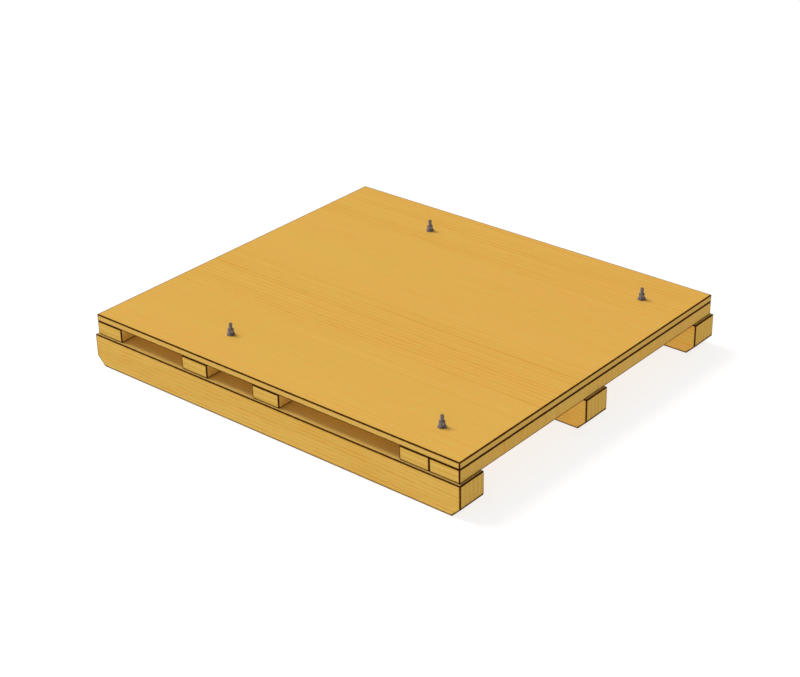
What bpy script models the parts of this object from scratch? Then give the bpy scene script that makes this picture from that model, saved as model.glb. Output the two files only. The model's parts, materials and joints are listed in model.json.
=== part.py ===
"""A wooden shipping skid: three runners, five cross boards, a plywood deck and four hold-down bolts.

The origin is on the floor under the centre of the base. X runs along the runners, Y across them, Z up.
The runners are 4x4 posts, the cross boards are 2x4s laid flat and the deck is one sheet of plywood.
Two nails at each crossing hold the boards to the runners. Each carriage bolt comes up through a
board and the deck, and carries a flat washer, a spring lock washer and a hex nut.
"""

import math

import bmesh
import bpy

INCH = 0.0254

# Clearance between two pieces that touch on the real skid.
JOINT_GAP = 0.0003

# Lumber, at its dressed sizes.
RUNNER_LENGTH = 48.0 * INCH
RUNNER_SIZE = 3.5 * INCH
RUNNER_CHAMFER = 1.0 * INCH
BASE_WIDTH = 43.0 * INCH
BOARD_WIDTH = 3.5 * INCH
BOARD_THICKNESS = 1.5 * INCH
LUMBER_EDGE_EASE = 0.0015

# The plywood deck sheet.
DECK_LENGTH = 47.5 * INCH
DECK_WIDTH = 42.5 * INCH
DECK_THICKNESS = 0.75 * INCH
DECK_EDGE_EASE = 0.0006

# The second board's left edge, measured from the deck's left end.
SECOND_BOARD_LEFT = 12.3125 * INCH

# 10d common nails: 3 inches long, 0.148 inch wire, 5/16 inch head.
NAIL_LENGTH = 3.0 * INCH
NAIL_RADIUS = 0.074 * INCH
NAIL_HEAD_RADIUS = 0.156 * INCH
NAIL_HEAD_THICKNESS = 0.0016
NAIL_POINT_LENGTH = 0.0055
NAIL_SUNK = 0.0005
NAIL_SIDES = 8
NAIL_OFFSET_X = 0.024
NAIL_OFFSET_Y = 0.020

# 3/8-16 carriage bolts, 3 1/2 inches under the head, which is drawn a little way into its board.
BOLT_LENGTH = 3.5 * INCH
BOLT_RADIUS = 0.1875 * INCH
BOLT_TIP_CHAMFER = 0.0010
BOLT_HEAD_RADIUS = 0.415 * INCH
BOLT_HEAD_HEIGHT = 0.19 * INCH
BOLT_HEAD_RIM = 0.0010
BOLT_NECK_WIDTH = 0.385 * INCH
BOLT_NECK_DEPTH = 0.188 * INCH
BOLT_HOLE_RADIUS = 0.203 * INCH
BOLT_HEAD_SUNK = 0.07 * INCH
NECK_INTO_HEAD = 0.0010
HEAD_RINGS = 4
ROUND_SIDES = 24

# Flat washer, heavy spring lock washer and thick hex nut for a 3/8 inch bolt.
FLAT_WASHER_RADIUS = 0.425 * INCH
FLAT_WASHER_THICKNESS = 0.080 * INCH
LOCK_WASHER_RADIUS = 0.360 * INCH
LOCK_WASHER_THICKNESS = 0.130 * INCH
LOCK_WASHER_SLIT = 0.0012
NUT_ACROSS_FLATS = 0.5625 * INCH
NUT_HEIGHT = 0.406 * INCH
NUT_CHAMFER_ANGLE = math.radians(30.0)
NUT_CHAMFER_CIRCLE = 0.95 * NUT_ACROSS_FLATS
NUT_BORE_CHAMFER = 0.0007
WASHER_BORE_RADIUS = BOLT_RADIUS + 0.00036

# How far a cutter runs past the face that it cuts.
OVERCUT = 0.002

# Half the size of the square of deck around each bolt, which keeps the rest of the deck's face whole.
DECK_PATCH = 0.030

# Heights of the layers.
BOARD_BOTTOM = RUNNER_SIZE + JOINT_GAP
BOARD_TOP = BOARD_BOTTOM + BOARD_THICKNESS
DECK_BOTTOM = BOARD_TOP + JOINT_GAP
DECK_TOP = DECK_BOTTOM + DECK_THICKNESS
BOLT_SEAT = BOARD_BOTTOM + BOLT_HEAD_SUNK - JOINT_GAP
FLAT_WASHER_BOTTOM = DECK_TOP + JOINT_GAP
LOCK_WASHER_BOTTOM = FLAT_WASHER_BOTTOM + FLAT_WASHER_THICKNESS + JOINT_GAP
NUT_BOTTOM = LOCK_WASHER_BOTTOM + LOCK_WASHER_THICKNESS + JOINT_GAP

# Centres of the runners across the skid, front to back.
OUTER_RUNNER_Y = (BASE_WIDTH - RUNNER_SIZE) / 2
RUNNER_CENTRES = {"front": -OUTER_RUNNER_Y, "middle": 0.0, "back": OUTER_RUNNER_Y}

# Centres of the cross boards along the skid, left to right. The last two lie side by side.
LAST_BOARD_X = (DECK_LENGTH - BOARD_WIDTH) / 2
BOARD_CENTRES = (
    -LAST_BOARD_X,
    -DECK_LENGTH / 2 + SECOND_BOARD_LEFT + BOARD_WIDTH / 2,
    0.0,
    LAST_BOARD_X - BOARD_WIDTH - JOINT_GAP,
    LAST_BOARD_X,
)

# Each bolt: the number of its cross board and its place across the skid.
BOLTS = (
    (2, -16.0 * INCH),
    (4, -17.25 * INCH),
    (2, 15.9375 * INCH),
    (4, 15.9375 * INCH),
)

# How far right of its board's middle each bolt stands.
BOLT_OFF_CENTRE = 0.09375 * INCH


def clear_scene():
    for old in list(bpy.data.objects):
        bpy.data.objects.remove(old, do_unlink=True)


def make_material(name, colour, roughness, metallic):
    material = bpy.data.materials.new(name)
    material.use_nodes = True
    shader = material.node_tree.nodes["Principled BSDF"]
    shader.inputs["Base Color"].default_value = (*colour, 1.0)
    shader.inputs["Roughness"].default_value = roughness
    shader.inputs["Metallic"].default_value = metallic
    return material


def add_object(name, shape, material, location, smooth=False):
    """Turn a bmesh into a named object at a place, with one material."""
    bmesh.ops.recalc_face_normals(shape, faces=shape.faces)
    mesh = bpy.data.meshes.new(name)
    shape.to_mesh(mesh)
    shape.free()
    if smooth:
        mesh.shade_smooth()
        mesh.set_sharp_from_angle(angle=math.radians(35.0))
    if material:
        mesh.materials.append(material)
    made = bpy.data.objects.new(name, mesh)
    made.location = location
    bpy.context.scene.collection.objects.link(made)
    return made


def share_mesh(name, original, location):
    """Another object with the same mesh as an earlier one."""
    made = bpy.data.objects.new(name, original.data)
    made.location = location
    bpy.context.scene.collection.objects.link(made)
    return made


def ease_edges(piece, width):
    """A narrow flat along every sharp edge."""
    bevel = piece.modifiers.new("eased_edges", "BEVEL")
    bevel.width = width
    bevel.segments = 1
    bevel.limit_method = "ANGLE"
    bevel.angle_limit = math.radians(30.0)


def combine(piece, other, operation):
    """A Boolean between a piece and a guide object that is not itself part of the skid."""
    other.hide_render = True
    other.display_type = "WIRE"
    boolean = piece.modifiers.new(other.name, "BOOLEAN")
    boolean.operation = operation
    boolean.solver = "EXACT"
    boolean.object = other


def add_turned(shape, profile, sides, centre=(0.0, 0.0)):
    """Add a solid of revolution to a bmesh. The profile runs from the axis back to the axis."""
    rings = []
    for radius, height in profile:
        if radius == 0.0:
            rings.append([shape.verts.new((centre[0], centre[1], height))])
            continue
        ring = []
        for side in range(sides):
            angle = 2 * math.pi * side / sides
            x = centre[0] + radius * math.cos(angle)
            y = centre[1] + radius * math.sin(angle)
            ring.append(shape.verts.new((x, y, height)))
        rings.append(ring)
    for lower, upper in zip(rings, rings[1:]):
        for side in range(sides):
            after = (side + 1) % sides
            corners = [lower[side % len(lower)], lower[after % len(lower)]]
            corners += [upper[after % len(upper)], upper[side % len(upper)]]
            shape.faces.new(list(dict.fromkeys(corners)))


def add_ring(shape, inner, outer, bottom, top, sides):
    """Add a flat ring to a bmesh."""
    rings = []
    for radius, height in ((inner, bottom), (outer, bottom), (outer, top), (inner, top)):
        ring = []
        for side in range(sides):
            angle = 2 * math.pi * side / sides
            ring.append(shape.verts.new((radius * math.cos(angle), radius * math.sin(angle), height)))
        rings.append(ring)
    for one, other in zip(rings, rings[1:] + rings[:1]):
        for side in range(sides):
            after = (side + 1) % sides
            shape.faces.new((one[side], one[after], other[after], other[side]))


def gridded_box(x_lines, y_lines, z_low, z_high):
    """A box whose top and bottom faces are divided along the given lines."""
    shape = bmesh.new()
    layers = []
    for z in (z_low, z_high):
        layers.append([[shape.verts.new((x, y, z)) for y in y_lines] for x in x_lines])
    last_x = len(x_lines) - 1
    last_y = len(y_lines) - 1
    for layer in layers:
        for i in range(last_x):
            for j in range(last_y):
                shape.faces.new((layer[i][j], layer[i + 1][j], layer[i + 1][j + 1], layer[i][j + 1]))
    low, high = layers
    for i in range(last_x):
        for j in (0, last_y):
            shape.faces.new((low[i][j], low[i + 1][j], high[i + 1][j], high[i][j]))
    for j in range(last_y):
        for i in (0, last_x):
            shape.faces.new((low[i][j], low[i][j + 1], high[i][j + 1], high[i][j]))
    return shape


def add_bolt_hole(shape, thickness, centre, mouth=BOLT_HOLE_RADIUS):
    """Add the cutter of a bolt hole through wood, with a wider mouth below where the head has sunk in."""
    above = thickness + OVERCUT
    profile = [(0.0, -OVERCUT), (mouth, -OVERCUT)]
    if mouth > BOLT_HOLE_RADIUS:
        profile += [(mouth, BOLT_HEAD_SUNK), (BOLT_HOLE_RADIUS, BOLT_HEAD_SUNK)]
    profile += [(BOLT_HOLE_RADIUS, above), (0.0, above)]
    add_turned(shape, profile, ROUND_SIDES, centre)


def nail_places():
    """Each nail's name and its place in plan: two, set diagonally, where a board crosses a runner."""
    places = []
    for number, board_x in enumerate(BOARD_CENTRES, start=1):
        for runner, runner_y in RUNNER_CENTRES.items():
            for letter, sign in (("a", -1), ("b", 1)):
                x = board_x + sign * NAIL_OFFSET_X
                y = runner_y + sign * NAIL_OFFSET_Y
                places.append((f"nail_board_{number}_{runner}_{letter}", number, runner, x, y))
    return places


def bolt_places():
    """Each bolt's number, its board's number and its place in plan."""
    places = []
    for number, (board, y) in enumerate(BOLTS, start=1):
        places.append((number, board, BOARD_CENTRES[board - 1] + BOLT_OFF_CENTRE, y))
    return places


def make_runner(place, runner_y, wood):
    half = RUNNER_LENGTH / 2
    outline = (
        (-half + RUNNER_CHAMFER, 0.0),
        (half - RUNNER_CHAMFER, 0.0),
        (half, RUNNER_CHAMFER),
        (half, RUNNER_SIZE),
        (-half, RUNNER_SIZE),
        (-half, RUNNER_CHAMFER),
    )
    shape = bmesh.new()
    near = [shape.verts.new((x, -RUNNER_SIZE / 2, z)) for x, z in outline]
    face = shape.faces.new(near)
    grown = bmesh.ops.extrude_face_region(shape, geom=[face])
    moved = [item for item in grown["geom"] if isinstance(item, bmesh.types.BMVert)]
    bmesh.ops.translate(shape, verts=moved, vec=(0.0, RUNNER_SIZE, 0.0))
    runner = add_object(f"runner_{place}", shape, wood, (0.0, runner_y, 0.0))
    ease_edges(runner, LUMBER_EDGE_EASE)

    holes = bmesh.new()
    radius = NAIL_RADIUS + clearance(NAIL_SIDES)
    bottom = BOARD_TOP - NAIL_SUNK - NAIL_LENGTH - JOINT_GAP
    top = RUNNER_SIZE + OVERCUT
    for _, _, runner_name, x, y in nail_places():
        if runner_name == place:
            profile = ((0.0, bottom), (radius, bottom), (radius, top), (0.0, top))
            add_turned(holes, profile, NAIL_SIDES, (x, y - runner_y))
    cutter = add_object(f"runner_{place}_nail_holes", holes, None, (0.0, runner_y, 0.0))
    combine(runner, cutter, "DIFFERENCE")


def clearance(sides):
    """What a hole's corners stand outside its shaft's, so that their flats keep the joint gap."""
    return JOINT_GAP / math.cos(math.pi / sides)


def make_board(number, board_x, wood):
    """A board as long as the deck is wide, with its nail holes, bolt holes, and head and neck recesses."""
    half_width = BOARD_WIDTH / 2
    half_length = DECK_WIDTH / 2
    shape = gridded_box((-half_width, half_width), (-half_length, half_length), 0.0, BOARD_THICKNESS)
    board = add_object(f"cross_board_{number}", shape, wood, (board_x, 0.0, BOARD_BOTTOM))
    ease_edges(board, LUMBER_EDGE_EASE)

    holes = bmesh.new()
    nail_radius = NAIL_RADIUS + clearance(NAIL_SIDES)
    head_radius = NAIL_HEAD_RADIUS + clearance(NAIL_SIDES)
    head_floor = BOARD_THICKNESS - NAIL_SUNK - NAIL_HEAD_THICKNESS - JOINT_GAP
    bolt_mouth = BOLT_HEAD_RADIUS + clearance(ROUND_SIDES)
    above = BOARD_THICKNESS + OVERCUT
    for _, board_number, _, x, y in nail_places():
        if board_number == number:
            profile = (
                (0.0, -OVERCUT),
                (nail_radius, -OVERCUT),
                (nail_radius, head_floor),
                (head_radius, head_floor),
                (head_radius, above),
                (0.0, above),
            )
            add_turned(holes, profile, NAIL_SIDES, (x - board_x, y))
    for _, board_number, _, y in bolt_places():
        if board_number == number:
            add_bolt_hole(holes, BOARD_THICKNESS, (BOLT_OFF_CENTRE, y), bolt_mouth)
    cutter = add_object(f"board_{number}_round_holes", holes, None, (board_x, 0.0, BOARD_BOTTOM))
    combine(board, cutter, "DIFFERENCE")

    recess_half = BOLT_NECK_WIDTH / 2 + JOINT_GAP
    for bolt_number, board_number, _, y in bolt_places():
        if board_number == number:
            lines_x = (BOLT_OFF_CENTRE - recess_half, BOLT_OFF_CENTRE + recess_half)
            lines_y = (y - recess_half, y + recess_half)
            recess = gridded_box(lines_x, lines_y, -OVERCUT, BOLT_HEAD_SUNK + BOLT_NECK_DEPTH)
            square = add_object(f"neck_recess_{bolt_number}", recess, None, (board_x, 0.0, BOARD_BOTTOM))
            combine(board, square, "DIFFERENCE")


def make_deck(plywood):
    half_length = DECK_LENGTH / 2
    half_width = DECK_WIDTH / 2
    places = bolt_places()
    x_lines = {-half_length, half_length}
    for _, _, x, _ in places:
        x_lines |= {x - DECK_PATCH, x + DECK_PATCH}
    front = [y for _, _, _, y in places if y < 0]
    back = [y for _, _, _, y in places if y > 0]
    y_lines = {-half_width, half_width}
    y_lines |= {min(front) - DECK_PATCH, max(front) + DECK_PATCH}
    y_lines |= {min(back) - DECK_PATCH, max(back) + DECK_PATCH}
    shape = gridded_box(sorted(x_lines), sorted(y_lines), 0.0, DECK_THICKNESS)
    deck = add_object("deck_sheet", shape, plywood, (0.0, 0.0, DECK_BOTTOM))
    ease_edges(deck, DECK_EDGE_EASE)

    holes = bmesh.new()
    for _, _, x, y in places:
        add_bolt_hole(holes, DECK_THICKNESS, (x, y))
    cutter = add_object("deck_bolt_holes", holes, None, (0.0, 0.0, DECK_BOTTOM))
    combine(deck, cutter, "DIFFERENCE")


def make_nails(steel):
    """A nail's origin is at the top of its head."""
    profile = (
        (0.0, -NAIL_LENGTH),
        (NAIL_RADIUS, -NAIL_LENGTH + NAIL_POINT_LENGTH),
        (NAIL_RADIUS, -NAIL_HEAD_THICKNESS),
        (NAIL_HEAD_RADIUS, -NAIL_HEAD_THICKNESS),
        (NAIL_HEAD_RADIUS, 0.0),
        (0.0, 0.0),
    )
    first = None
    for name, _, _, x, y in nail_places():
        location = (x, y, BOARD_TOP - NAIL_SUNK)
        if first is None:
            shape = bmesh.new()
            add_turned(shape, profile, NAIL_SIDES)
            first = add_object(name, shape, steel, location, smooth=True)
        else:
            share_mesh(name, first, location)


def bolt_profile():
    """From the bottom of the domed head up to the chamfered tip, with the seat under the head at 0."""
    dome = BOLT_HEAD_HEIGHT - BOLT_HEAD_RIM
    sphere = (BOLT_HEAD_RADIUS**2 + dome**2) / (2 * dome)
    spread = math.asin(BOLT_HEAD_RADIUS / sphere)
    profile = [(0.0, -BOLT_HEAD_HEIGHT)]
    for ring in range(1, HEAD_RINGS + 1):
        angle = spread * ring / HEAD_RINGS
        profile.append((sphere * math.sin(angle), sphere * (1 - math.cos(angle)) - BOLT_HEAD_HEIGHT))
    profile += [
        (BOLT_HEAD_RADIUS, 0.0),
        (BOLT_RADIUS, 0.0),
        (BOLT_RADIUS, BOLT_LENGTH - BOLT_TIP_CHAMFER),
        (BOLT_RADIUS - BOLT_TIP_CHAMFER, BOLT_LENGTH),
        (0.0, BOLT_LENGTH),
    ]
    return profile


def make_bolt(number, x, y, steel):
    """The square neck under the head is joined to the turned bolt."""
    shape = bmesh.new()
    add_turned(shape, bolt_profile(), ROUND_SIDES)
    bolt = add_object(f"carriage_bolt_{number}", shape, steel, (x, y, BOLT_SEAT), smooth=True)
    half = BOLT_NECK_WIDTH / 2
    neck = gridded_box((-half, half), (-half, half), -NECK_INTO_HEAD, BOLT_NECK_DEPTH)
    square = add_object(f"square_neck_{number}", neck, None, (x, y, BOLT_SEAT))
    combine(bolt, square, "UNION")


def make_flat_washer(number, x, y, steel):
    shape = bmesh.new()
    add_ring(shape, BOLT_HOLE_RADIUS, FLAT_WASHER_RADIUS, 0.0, FLAT_WASHER_THICKNESS, ROUND_SIDES)
    add_object(f"flat_washer_{number}", shape, steel, (x, y, FLAT_WASHER_BOTTOM), smooth=True)


def make_lock_washer(number, x, y, steel):
    """A ring split by a narrow slit on its +X side."""
    shape = bmesh.new()
    add_ring(shape, WASHER_BORE_RADIUS, LOCK_WASHER_RADIUS, 0.0, LOCK_WASHER_THICKNESS, ROUND_SIDES)
    washer = add_object(f"lock_washer_{number}", shape, steel, (x, y, LOCK_WASHER_BOTTOM), smooth=True)
    inside = WASHER_BORE_RADIUS - OVERCUT
    outside = LOCK_WASHER_RADIUS + OVERCUT
    half = LOCK_WASHER_SLIT / 2
    above = LOCK_WASHER_THICKNESS + OVERCUT
    slit = gridded_box((inside, outside), (-half, half), -OVERCUT, above)
    cutter = add_object(f"lock_washer_slit_{number}", slit, None, (x, y, LOCK_WASHER_BOTTOM))
    combine(washer, cutter, "DIFFERENCE")


def make_nut(number, x, y, steel):
    """A hexagon with flats facing +Y and -Y, trimmed by a cone at each end and bored through."""
    corner = NUT_ACROSS_FLATS / 2 / math.cos(math.pi / 6)
    shape = bmesh.new()
    hexagon = ((0.0, 0.0), (corner, 0.0), (corner, NUT_HEIGHT), (0.0, NUT_HEIGHT))
    add_turned(shape, hexagon, 6)
    nut = add_object(f"hex_nut_{number}", shape, steel, (x, y, NUT_BOTTOM), smooth=True)

    end = NUT_CHAMFER_CIRCLE / 2
    waist = corner + OVERCUT
    drop = (waist - end) * math.tan(NUT_CHAMFER_ANGLE)
    cones = bmesh.new()
    trimmed = (
        (0.0, 0.0),
        (end, 0.0),
        (waist, drop),
        (waist, NUT_HEIGHT - drop),
        (end, NUT_HEIGHT),
        (0.0, NUT_HEIGHT),
    )
    add_turned(cones, trimmed, ROUND_SIDES)
    trim = add_object(f"nut_cones_{number}", cones, None, (x, y, NUT_BOTTOM))
    combine(nut, trim, "INTERSECT")

    mouth = WASHER_BORE_RADIUS + NUT_BORE_CHAMFER + OVERCUT
    bore = (
        (0.0, -OVERCUT),
        (mouth, -OVERCUT),
        (WASHER_BORE_RADIUS, NUT_BORE_CHAMFER),
        (WASHER_BORE_RADIUS, NUT_HEIGHT - NUT_BORE_CHAMFER),
        (mouth, NUT_HEIGHT + OVERCUT),
        (0.0, NUT_HEIGHT + OVERCUT),
    )
    drill = bmesh.new()
    add_turned(drill, bore, ROUND_SIDES)
    cutter = add_object(f"nut_bore_{number}", drill, None, (x, y, NUT_BOTTOM))
    combine(nut, cutter, "DIFFERENCE")


def main():
    clear_scene()
    lumber = make_material("lumber", (0.69, 0.41, 0.07), 0.70, 0.0)
    plywood = make_material("plywood", (0.69, 0.39, 0.062), 0.70, 0.0)
    bolt_steel = make_material("dark_steel", (0.20, 0.17, 0.185), 0.55, 0.4)
    nail_steel = make_material("nail_steel", (0.42, 0.42, 0.43), 0.40, 1.0)

    for place, runner_y in RUNNER_CENTRES.items():
        make_runner(place, runner_y, lumber)
    for number, board_x in enumerate(BOARD_CENTRES, start=1):
        make_board(number, board_x, lumber)
    make_deck(plywood)
    make_nails(nail_steel)
    for number, _, x, y in bolt_places():
        make_bolt(number, x, y, bolt_steel)
        make_flat_washer(number, x, y, bolt_steel)
        make_lock_washer(number, x, y, bolt_steel)
        make_nut(number, x, y, bolt_steel)


main()
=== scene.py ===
"""Looks of the wooden skid: planed pine, sanded plywood and dark threaded steel, in a plain studio.

Every size is in metres, in the frame's own axes: X along the runners, Y across them, Z up.
"""
import json
import math

import bmesh
import bpy
from mathutils import Matrix, Vector


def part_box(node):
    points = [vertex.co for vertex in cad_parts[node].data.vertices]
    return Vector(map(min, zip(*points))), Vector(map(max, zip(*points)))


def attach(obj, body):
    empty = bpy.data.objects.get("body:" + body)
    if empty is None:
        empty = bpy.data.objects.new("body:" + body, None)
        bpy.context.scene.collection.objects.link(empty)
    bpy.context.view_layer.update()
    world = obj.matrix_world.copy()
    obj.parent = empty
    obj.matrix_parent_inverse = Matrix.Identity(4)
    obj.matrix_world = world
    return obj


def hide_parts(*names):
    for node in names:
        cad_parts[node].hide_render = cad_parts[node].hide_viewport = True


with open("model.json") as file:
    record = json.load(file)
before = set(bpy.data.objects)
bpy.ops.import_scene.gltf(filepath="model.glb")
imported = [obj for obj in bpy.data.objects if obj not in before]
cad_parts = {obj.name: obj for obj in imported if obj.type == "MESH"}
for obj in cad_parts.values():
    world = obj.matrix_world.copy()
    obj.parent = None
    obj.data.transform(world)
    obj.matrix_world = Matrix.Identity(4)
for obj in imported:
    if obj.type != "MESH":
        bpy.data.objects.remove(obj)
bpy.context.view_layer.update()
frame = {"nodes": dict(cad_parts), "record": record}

# Camera: where it stands, where it looks and how much it sees.
CAMERA_PLACE = (2.8021, -3.3410, 2.3329)
CAMERA_HEADING = math.radians(130.202)
CAMERA_DIP = math.radians(27.681)
CAMERA_ROLL = math.radians(-1.086)
CAMERA_LENS = 83.40
SENSOR_WIDTH = 36.0

# Lumber and plywood: shapes.
RUNNER_CHAMFER = 0.0254
LUMBER_ARRIS = 0.0021
PLYWOOD_ARRIS = 0.0017
ARRIS_SEGMENTS = 4
WOOD_CLEARANCE = 0.0003
CUTTER_OVERRUN = 0.002
NAIL_WIRE_RADIUS = 0.00188
NAIL_HEAD_THICKNESS = 0.0016
NAIL_HOLE_SEGMENTS = 16
BOLT_HOLE_RADIUS = 0.00516
BOLT_HOLE_SEGMENTS = 48
NECK_HOLE_HALF = 0.0052
NECK_HOLE_DEPTH = 0.0051

# Lumber and plywood: colours of the planed faces and what shades them.
PLYWOOD_TONES = ((0.711, 0.418, 0.083), (0.716, 0.396, 0.082))
LUMBER_TONES = ((0.716, 0.461, 0.104), (0.721, 0.435, 0.095))
# A paler pine, painted on faces that lie in shade under other parts: painted light that lifts that
# shade.
SHADE_LIFT_PINE = (0.75, 0.56, 0.20)
STREAK_ORANGE = (0.615, 0.275, 0.014)
MOTTLE_OLIVE = (0.635, 0.468, 0.105)
MOTTLE_PINK = (0.770, 0.374, 0.066)
RING_BROWN = (0.52, 0.24, 0.022)
FIBRE_BROWN = (0.50, 0.25, 0.03)
PORE_BROWN = (0.32, 0.14, 0.02)
SWELL_TAN = (0.655, 0.395, 0.066)

# Lumber ends and plywood edges.
END_TONE = (0.735, 0.468, 0.105)
END_PORE_BROWN = (0.50, 0.27, 0.045)
END_RING_BROWN = (0.42, 0.19, 0.02)
CROSS_PLY_TONES = ((0.71, 0.434, 0.095), (0.48, 0.26, 0.05))
LONG_PLY_TONES = ((0.71, 0.439, 0.100), (0.56, 0.30, 0.055))
GLUE_BROWN = (0.28, 0.13, 0.02)
PLIES = 7

# The handled, damp-darkened edges.
DARK_EDGE = 0.0030
STAIN_REACH = 0.0022
DAMP_HEIGHT = 0.012
STAIN_BROWN = (0.28, 0.095, 0.001)
EDGE_BLACK = (0.026, 0.009, 0.0005)

# Grain: streaks across the face, and growth rings round the pith, by their spacing.
LUMBER_STREAKS = {"spacing": 0.0104, "unevenness": 2.0, "dash": 0.050, "faintest": 0.34}
PLYWOOD_STREAKS = {"spacing": 0.0150, "unevenness": 5.5, "dash": 0.10, "faintest": 0.58}
GROWTH_RING = 0.0046
WIDE_END_RING = 0.0150
PEELED_RING = 0.0185
# The plywood's bands of close grain: the middle of each, how far it reaches and how strong it gets.
PLYWOOD_BANDS = ((0.437, 0.118, 0.90), (-0.126, 0.130, 0.95))
BAND_FLOOR = 0.3

# Threaded steel: a 3/8-16 thread.
PITCH = 0.0015875
THREAD_MAJOR = 0.00474
THREAD_DEPTH = 0.00097
THREAD_LENGTH = 0.0381
THREAD_PROFILE = ((0.0, 0.0), (0.25, 0.0), (0.5625, 1.0), (0.6875, 1.0))
THREAD_SEGMENTS = 32
TAP_CLEARANCE = 0.00008
# Turned a little, so that a cutter's corners stay off the thread's own.
CUTTER_TURN = 0.01

# Bolts, nuts and washers.
BOLT_LENGTH = 0.0889
TIP_CHAMFER = 0.0015
HEAD_RIM = 0.0009
HEAD_EASE = 0.0003
HEAD_STEPS = 12
NECK_HALF = 0.00489
NECK_DEPTH = 0.0047
NECK_ROUNDING = 0.0005
NUT_CORNER_EASE = 0.00025
NUT_CONE_ANGLE = math.radians(30.0)
NUT_CONE_SHARE = 0.475
NUT_SINK = 0.0006
WASHER_ROLL = 0.00035
SPRING_BORE_RADIUS = 0.00512
SPRING_RISE = 0.00022
SPRING_ROLL = 0.0003
SPRING_GAP = math.radians(9.0)
SPRING_SLANT = math.radians(11.0)
SPRING_STEPS = 72
ROUND_SEGMENTS = 64

# Steel: the lighter and darker tone of each skin, and the dirt and painted shade on it.
STUD_TONES = ((0.365, 0.316, 0.322), (0.260, 0.224, 0.230))
WASHER_TONES = ((0.470, 0.420, 0.440), (0.335, 0.300, 0.318))
NUT_TONES = ((0.342, 0.328, 0.415), (0.252, 0.242, 0.310))
NAIL_TONES = ((0.50, 0.50, 0.51), (0.36, 0.36, 0.37))
# Dark brown for oil on the washers and nuts, and for the shade painted on their rims and the nut's foot.
OIL_AND_SHADE_BROWN = (0.080, 0.053, 0.024)
TIP_RUST = (0.140, 0.088, 0.028)
RUST_BEGINS = 0.0034    # below the stud's tip
RUST_IS_FULL = 0.0012    # below the stud's tip
OILED = {"roughness": 0.62, "metallic": 0.12}
OILED_NUT = {"roughness": 0.60, "metallic": 0.12}
BRIGHT_WIRE = {"roughness": 0.36, "metallic": 0.9}

# Studio. A light's direction points towards it.
FLOOR_TONES = ((0.26, 0.26, 0.259), (0.28, 0.28, 0.279))
FLOOR_GLOW = 0.79
FLOOR_RADIUS = 30.0
FLOOR_TOP = -0.0004
FLOOR_BOTTOM = -0.02
FLOOR_SEGMENTS = 96
HORIZON_LIGHT = 0.10
ZENITH_LIGHT = 0.68
SIDE_SHARE = 0.95
KEY_LIGHT = 2.05
KEY_DIRECTION = (-0.598, -0.06, 0.799)
KEY_SPREAD = 25.0
FILL_LIGHT = 0.965
FILL_DIRECTION = (0.485, -0.858, 0.167)
FILL_SPREAD = 45.0


# Node trees


class Shader:
    """A material's node tree around its Principled BSDF, with a short call for each kind of node."""

    def __init__(self, name):
        self.material = bpy.data.materials.new(name)
        self.material.use_nodes = True
        self.nodes = self.material.node_tree.nodes
        self.links = self.material.node_tree.links
        self.surface = self.nodes["Principled BSDF"]

    def put(self, value, socket):
        """Set a socket to a number or colour, or link another node's output to it."""
        if isinstance(value, bpy.types.NodeSocket):
            self.links.new(value, socket)
        else:
            socket.default_value = value

    def math(self, operation, first, second=0.0):
        node = self.nodes.new("ShaderNodeMath")
        node.operation = operation
        self.put(first, node.inputs[0])
        self.put(second, node.inputs[1])
        return node.outputs[0]

    def vector(self, operation, first, second):
        node = self.nodes.new("ShaderNodeVectorMath")
        node.operation = operation
        self.put(first, node.inputs[0])
        self.put(second, node.inputs[1])
        return node.outputs[0]

    def split(self, vector):
        node = self.nodes.new("ShaderNodeSeparateXYZ")
        self.put(vector, node.inputs[0])
        return list(node.outputs)

    def join(self, x, y, z):
        node = self.nodes.new("ShaderNodeCombineXYZ")
        for value, socket in zip((x, y, z), node.inputs):
            self.put(value, socket)
        return node.outputs[0]

    def noise(self, place, scale=1.0, detail=2.0, roughness=0.5):
        node = self.nodes.new("ShaderNodeTexNoise")
        self.put(place, node.inputs["Vector"])
        node.inputs["Scale"].default_value = scale
        node.inputs["Detail"].default_value = detail
        node.inputs["Roughness"].default_value = roughness
        return node.outputs["Fac"]

    def map(self, value, low, high, to_low=0.0, to_high=1.0):
        """A smooth step from to_low at low to to_high at high."""
        node = self.nodes.new("ShaderNodeMapRange")
        node.interpolation_type = "SMOOTHSTEP"
        self.put(value, node.inputs["Value"])
        self.put(low, node.inputs["From Min"])
        self.put(high, node.inputs["From Max"])
        self.put(to_low, node.inputs["To Min"])
        self.put(to_high, node.inputs["To Max"])
        return node.outputs["Result"]

    def mix(self, share, first, second):
        """The first colour, with a share of the second mixed in."""
        node = self.nodes.new("ShaderNodeMix")
        node.data_type = "RGBA"
        self.put(share, node.inputs["Factor"])
        for colour, socket in ((first, "A"), (second, "B")):
            if not isinstance(colour, bpy.types.NodeSocket):
                colour = (*colour, 1.0)
            self.put(colour, node.inputs[socket])
        return node.outputs["Result"]

    def texture_place(self, output="Object"):
        return self.nodes.new("ShaderNodeTexCoord").outputs[output]

    def bump(self, height, distance):
        node = self.nodes.new("ShaderNodeBump")
        node.inputs["Distance"].default_value = distance
        self.put(height, node.inputs["Height"])
        self.links.new(node.outputs["Normal"], self.surface.inputs["Normal"])


def stretched(shader, axes, along, across, thick):
    """Texture coordinates with a different scale, in features per metre, for each wood axis."""
    return shader.join(
        shader.math("MULTIPLY", axes[0], along),
        shader.math("MULTIPLY", axes[1], across),
        shader.math("MULTIPLY", axes[2], thick),
    )


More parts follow.
